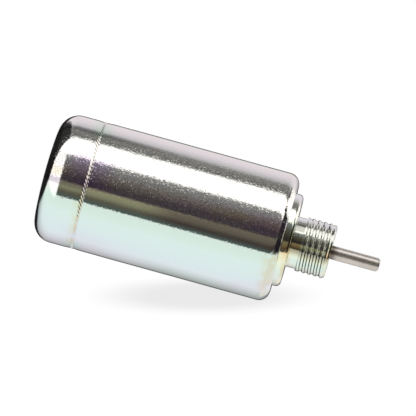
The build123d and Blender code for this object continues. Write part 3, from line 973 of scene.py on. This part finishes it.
class SOLENOID_OT_push_rod(bpy.types.Operator):
    """Builds the ground push rod with its head, clip groove and rounded tip, and the bush that guides it"""

    bl_idname = "solenoid.push_rod"
    bl_label = "Push rod and bush"

    def execute(self, context):
        s = context.scene.solenoid_nose
        edge = context.scene.solenoid_shell.edge_break
        head_top = rod_low.z + s.head_thickness
        clip_top = s.clip_height + s.clip_groove
        rod = turned_piece("push_rod_ground", rounded_outline([
            (0.0, rod_low.z, 0.0),
            (s.rod_head, rod_low.z, edge),
            (s.rod_head, head_top, edge),
            (s.rod_radius, head_top, 0.0),
            (s.rod_radius, s.clip_height, 0.0),
            (s.clip_bottom, s.clip_height, 0.0),
            (s.clip_bottom, clip_top, 0.0),
            (s.rod_radius, clip_top, 0.0),
            (s.rod_radius, rod_high.z, s.tip_radius),
            (0.0, rod_high.z, 0.0),
        ]), s.rod_facets)
        # The rod carries a painted shadow where it comes out of the nose
        painted_shadow_at_nose = (s.thread_end + 0.0002, s.thread_end + 0.0022)
        steel = ground_steel("ground_steel", (0.68, 0.63, 0.58), 0.28, 5200.0, 2.0, painted_shadow_at_nose)
        finish_piece(rod, "plunger", "bright_steel", steel, "push_rod")
        bore = s.rod_radius + s.rod_gap
        bush = turned_piece("rod_bush_turned", rounded_outline([
            (bore, bush_low.z, edge),
            (bush_high.x, bush_low.z, edge),
            (bush_high.x, bush_high.z, edge),
            (bore + s.bush_chamfer, bush_high.z, edge),
            (bore, bush_high.z - s.bush_chamfer, 0.0),
        ]), s.rod_facets)
        bronze = plain_metal("sintered_bronze", (0.46, 0.30, 0.15), 0.42)
        finish_piece(bush, "case", "bronze", bronze, "rod_bush")
        return {"FINISHED"}


class SOLENOID_OT_return_spring(bpy.types.Operator):
    """Winds the return spring between the rear pole and the rod's head"""

    bl_idname = "solenoid.return_spring"
    bl_label = "Return spring"

    def execute(self, context):
        s = context.scene.solenoid_spring
        rest_length = s.head - s.seat
        steel = ground_steel("spring_wire", (0.40, 0.41, 0.43), 0.28, 3000.0, 2.0)
        blank = bpy.data.meshes.new("spring_blank")
        piece = shaped_piece("return_spring_wound", blank, spring_tool, {
            "Wire": s.wire,
            "Coil radius": s.outer_radius - s.wire / 2,
            "Base": s.seat + s.wire / 2,
            "Rise": rest_length - s.wire,
            "Turns": s.turns,
            "Turn steps": s.turn_steps,
            "Wire sides": s.wire_sides,
            "Material": steel,
        })
        finish_piece(piece, "case", "spring_steel", steel, "return_spring")
        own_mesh(piece)
        return {"FINISHED"}


class SOLENOID_OT_inner_parts(bpy.types.Operator):
    """Gives every part that keeps its CAD shape the finish of its material"""

    bl_idname = "solenoid.inner_parts"
    bl_label = "Inner parts"

    def execute(self, context):
        finishes = {
            "soft_iron": ground_steel("turned_iron", (0.44, 0.44, 0.45), 0.30, 2600.0, 4.0),
            "spring_steel": plain_metal("hardened_steel", (0.38, 0.39, 0.42), 0.30),
            "brass": plain_metal("drawn_brass", (0.78, 0.58, 0.26), 0.24),
            "tinned_brass": plain_metal("tin", (0.70, 0.70, 0.68), 0.26),
            "enamelled_copper": plain_metal("enamelled_copper", (0.60, 0.25, 0.10), 0.28, 1.5),
            "black_rubber": moulded("nitrile_rubber", (0.022, 0.022, 0.023), 0.62, 3000.0, 8.0, 0.15),
            "black_nylon": moulded("black_nylon", (0.030, 0.030, 0.032), 0.42, 2200.0, 10.0),
            "natural_nylon": moulded("natural_nylon", (0.72, 0.68, 0.56), 0.44, 1600.0, 8.0),
            "yellow_tape": moulded("winding_tape", (0.80, 0.62, 0.12), 0.40, 900.0, 6.0),
        }
        slots = {part["node"]: part["material_slot"] for part in frame["record"]["subparts"]}
        for name, node in frame["nodes"].items():
            if node.hide_render:
                continue
            node.data.materials.clear()
            node.data.materials.append(finishes[slots[name]])
        return {"FINISHED"}


# What the metal reflects, by degrees from the side of -Y towards -X: a dark room round the camera,
# a long softbox, a dark gap, and pale walls
LEVEL_BANDS = [
    (-180, grey(0.36)),
    (-166, grey(0.28)),
    (-154, grey(0.48)),
    (-132, grey(0.76)),
    (-112, grey(0.94)),
    (-60, grey(0.99)),
    (-32.4, grey(0.93)),
    (-30.9, (0.075, 0.105, 0.105)),
    (-21, (0.115, 0.098, 0.074)),
    (-14, (0.228, 0.228, 0.148)),
    (-5.5, (0.300, 0.296, 0.195)),
    (-2.2, (0.060, 0.052, 0.060)),
    (7, (0.061, 0.054, 0.060)),
    (21, (0.145, 0.134, 0.118)),
    (36, (0.240, 0.245, 0.252)),
    (43.2, grey(0.34)),
    (45.7, grey(1.5)),
    (79, grey(1.5)),
    (85, grey(0.19)),
    (104, (0.262, 0.262, 0.256)),
    (111, grey(0.49)),
    (118, grey(0.62)),
    (132, grey(0.78)),
    (154, grey(0.82)),
    (168, grey(0.56)),
    (180, grey(0.36)),
]


def camera_axes(s):
    """The camera's right, up and back directions."""
    back = Vector((0.0, -math.cos(s.elevation), math.sin(s.elevation)))
    along = Vector((0.0, 0.0, 1.0))
    along = (along - back * along.dot(back)).normalized()
    across = Vector((-1.0, 0.0, 0.0))
    right = along * math.cos(s.roll) + across * math.sin(s.roll)
    up = across * math.cos(s.roll) - along * math.sin(s.roll)
    return right, up, back


def add_camera(s):
    """A long lens that looks at the solenoid's side, rolled so that the axis falls towards the nose."""
    right, up, back = camera_axes(s)
    camera = bpy.data.objects.new("camera", bpy.data.cameras.new("camera"))
    camera.matrix_world = Matrix((right, up, back)).transposed().to_4x4()
    camera.location = Vector((s.target_across, 0.0, s.target_height)) + back * s.distance
    camera.data.lens = camera.data.sensor_width * s.distance / s.view_width
    camera.data.clip_start, camera.data.clip_end = CAMERA_CLIPS
    bpy.context.scene.collection.objects.link(camera)
    bpy.context.scene.camera = camera


def mirrored_studio(direction):
    """The studio in a mirrored direction: level bands, the room ahead of the nose, and patches."""
    x, y, z = direction.parts()
    turn = direction.round_axis()
    # The normal that mirrors the direction to the camera: how far it is turned to the side, and how far
    # it leans towards +Z. Just over 1, so that straight behind the object nothing is divided by 0.
    facing = 1.001 - y
    side = x / facing
    lean = z / facing / (side * side + 1.0).root()
    ahead = side.rise(0.25, 0.31).mix((0.030, 0.030, 0.032), grey(0.95))
    nearer = side.rise(-0.50, -0.62) * 0.18 + side.between(-0.85, -0.58, 0.04) * 0.14
    farther = side.rise(-0.46, -0.36)
    overhead = side.rise(-0.22, -0.32) * (lean + nearer - farther).rise(0.82, 0.92)
    ahead = overhead.mix(ahead, grey(1.25))
    edge_light = lean.rise(1.9, 2.6) * side.between(-0.40, 0.20, 0.05) * 0.8
    ahead = edge_light.mix(ahead, grey(0.95))
    later = side.rise(-0.30, -0.62) * 0.32 + side.between(-0.45, 0.26, 0.06) * 0.34
    leaving = (lean - later).rise(0.15, 0.27) * side.rise(-1.48, -1.20) * side.rise(3.6, 2.2)
    seen = leaving.mix(turn.ramp(LEVEL_BANDS), ahead)
    lit_floor = z.rise(-0.24, -0.38) * turn.arc(-36, 72, 6)
    seen = lit_floor.mix(seen, grey(1.35))
    shaded_floor = z.rise(-0.36, -0.46) * turn.arc(78, 200, 6)
    seen = shaded_floor.mix(seen, grey(0.035))
    low_behind = (y - z * 2.0 - x.greatest(0.0) * 0.9).rise(1.86, 1.98)
    seen = low_behind.mix(seen, grey(0.015))
    behind = z.rise(-0.12, -0.20) * y.rise(0.62, 0.74) * abs(x).rise(0.42, 0.30)
    seen = behind.mix(seen, grey(0.015))
    far_side = y.rise(0.905, 0.985) * abs(z).rise(0.20, 0.10)
    return far_side.mix(seen, grey(0.10))


def pale_backdrop(direction, s):
    """White, with a soft shadow under the object."""
    right, up = camera_axes(s)[:2]
    across = (direction.dot(right) * s.distance + s.shadow_left) / s.shadow_width
    height = (direction.dot(up) * s.distance + s.shadow_drop) / s.shadow_height
    faded = (across * across + height * height).root().rise(1.0, 0.35)
    return (faded * s.shadow_depth).mix(WHITE, BLACK)


def add_world(s):
    """A studio as a world: white for the camera, bands for reflections and plain fill for the rest."""
    world = bpy.data.worlds.new("studio")
    bpy.context.scene.world = world
    start = empty_tree(world)
    direction = start.node("ShaderNodeTexCoord", output="Generated")
    rays = start.node("ShaderNodeLightPath").socket.node.outputs
    camera_ray, glossy_ray, clear_ray = (
        Wire(start.tree, rays[name]) for name in ("Is Camera Ray", "Is Glossy Ray", "Is Transmission Ray")
    )
    seen = glossy_ray.mix(grey(s.ambient), mirrored_studio(direction))
    seen = (camera_ray + clear_ray).least(1.0).mix(seen, pale_backdrop(direction, s))
    background = start.node("ShaderNodeBackground", {"Color": seen, "Strength": 1.0})
    start.node("ShaderNodeOutputWorld", {"Surface": background})


def add_floor(s):
    """A pale round floor, white to the camera apart from the shadow, and clear from below."""
    mesh = bpy.data.meshes.new("floor")
    shape = bmesh.new()
    bmesh.ops.create_circle(shape, cap_ends=True, segments=FLOOR_SIDES, radius=s.floor_radius)
    shape.to_mesh(mesh)
    shape.free()
    floor = bpy.data.objects.new("floor", mesh)
    bpy.context.scene.collection.objects.link(floor)
    floor.location.z = -FLOOR_GAP
    floor.visible_glossy = False
    material = bpy.data.materials.new("floor_paper")
    start = empty_tree(material)
    paper = start.node("ShaderNodeBsdfDiffuse", {"Color": s.floor_paper})
    glow = start.node("ShaderNodeEmission", {"Color": WHITE, "Strength": s.floor_glow})
    share = start.node("ShaderNodeLightPath", output="Is Camera Ray") * (1.0 - s.shadow_share)
    seen = start.node("ShaderNodeMixShader", {0: share, 1: paper, 2: glow})
    clear = start.node("ShaderNodeBsdfTransparent")
    under = start.node("ShaderNodeNewGeometry", output="Backfacing")
    sheet = start.node("ShaderNodeMixShader", {0: under, 1: seen, 2: clear})
    start.node("ShaderNodeOutputMaterial", {"Surface": sheet})
    mesh.materials.append(material)


def add_lamp(s):
    """A large soft lamp over the nose, which the metal doesn't reflect."""
    data = bpy.data.lights.new("overhead", "AREA")
    data.shape = "DISK"
    data.size = s.lamp_size
    data.energy = s.lamp_power
    lamp = bpy.data.objects.new("overhead", data)
    lamp.location = s.lamp_place
    aim = Vector((0.0, 0.0, s.lamp_aim)) - lamp.location
    lamp.rotation_euler = aim.to_track_quat("-Z", "Y").to_euler()
    lamp.visible_glossy = False
    bpy.context.scene.collection.objects.link(lamp)


class SOLENOID_OT_stage(bpy.types.Operator):
    """Sets up the pale floor, the studio light and the camera"""

    bl_idname = "solenoid.stage"
    bl_label = "Stage"

    def execute(self, context):
        s = context.scene.solenoid_studio
        add_camera(s)
        add_world(s)
        add_floor(s)
        add_lamp(s)
        context.scene.view_settings.view_transform = "Standard"
        return {"FINISHED"}


OPERATORS = (
    SOLENOID_OT_rear_cap,
    SOLENOID_OT_housing,
    SOLENOID_OT_nose,
    SOLENOID_OT_push_rod,
    SOLENOID_OT_return_spring,
    SOLENOID_OT_inner_parts,
    SOLENOID_OT_stage,
)


class SOLENOID_PT_panel(bpy.types.Panel):
    """Lists the steps that build the solenoid"""

    bl_idname = "SOLENOID_PT_panel"
    bl_label = "Fuel shutoff solenoid"
    bl_space_type = "VIEW_3D"
    bl_region_type = "UI"
    bl_category = "Solenoid"

    def draw(self, context):
        for operator in OPERATORS:
            self.layout.operator(operator.bl_idname)


SETTINGS = {
    "solenoid_shell": ShellSettings,
    "solenoid_nose": NoseSettings,
    "solenoid_spring": SpringSettings,
    "solenoid_studio": StudioSettings,
}


def register():
    for group in SETTINGS.values():
        bpy.utils.register_class(group)
    for name, group in SETTINGS.items():
        setattr(bpy.types.Scene, name, PointerProperty(type=group))
    for operator in OPERATORS:
        bpy.utils.register_class(operator)
    bpy.utils.register_class(SOLENOID_PT_panel)


def unregister():
    bpy.utils.unregister_class(SOLENOID_PT_panel)
    for operator in reversed(OPERATORS):
        bpy.utils.unregister_class(operator)
    for name, group in SETTINGS.items():
        delattr(bpy.types.Scene, name)
        bpy.utils.unregister_class(group)


def main():
    register()
    bpy.ops.solenoid.rear_cap()
    bpy.ops.solenoid.housing()
    bpy.ops.solenoid.nose()
    bpy.ops.solenoid.push_rod()
    bpy.ops.solenoid.return_spring()
    bpy.ops.solenoid.inner_parts()
    bpy.ops.solenoid.stage()


if __name__ == "__main__":
    main()
